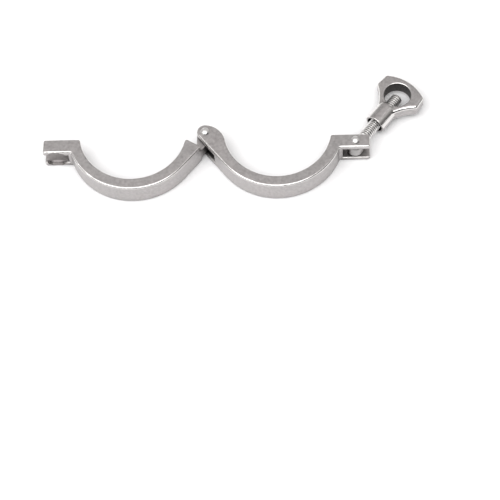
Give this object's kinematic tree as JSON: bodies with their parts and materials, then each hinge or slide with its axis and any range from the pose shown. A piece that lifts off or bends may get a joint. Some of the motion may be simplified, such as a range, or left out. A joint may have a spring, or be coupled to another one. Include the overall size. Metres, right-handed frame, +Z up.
{
  "type": "sanitary hinged clamp",
  "caption": "Hinged sanitary clamp lying open: cast half rings with a V groove, a swing bolt and a wing nut with a finger hole.",
  "frame": {"origin": "axis of the forked half ring, at the middle of its V groove", "axes": "+X along the opened clamp towards the wing nut, +Z up out of the table along the ring axes"},
  "size_m": [0.2541, 0.087, 0.0191],
  "materials": {
    "cast_stainless": "blasted and tumbled",
    "bright_stainless": "turned and polished"
  },
  "bodies": {
    "fork_half": {"fork_jaw": "cast_stainless", "hinge_pin": "bright_stainless", "bolt_pin": "bright_stainless"},
    "slot_half": {"slot_jaw": "cast_stainless"},
    "bolt": {"swing_bolt": "bright_stainless"},
    "nut": {"wing_nut": "cast_stainless"}
  },
  "joints": [
    {"name": "jaw_hinge", "type": "hinge", "parent": "fork_half", "child": "slot_half", "pos_m": [-0.0482, -0.001, 0], "axis": [0, 0, 1], "range_deg": [-183.6, 24.5]},
    {"name": "bolt_swing", "type": "hinge", "parent": "fork_half", "child": "bolt", "pos_m": [0.0516, -0.0098, 0], "axis": [0, 0, 1], "range_deg": [-132, 38.1]},
    {"name": "nut_spin", "type": "hinge", "parent": "bolt", "child": "nut", "pos_m": [0.0516, -0.0098, 0], "axis": [0.617, 0.7869, 0], "continuous": true}
  ]
}
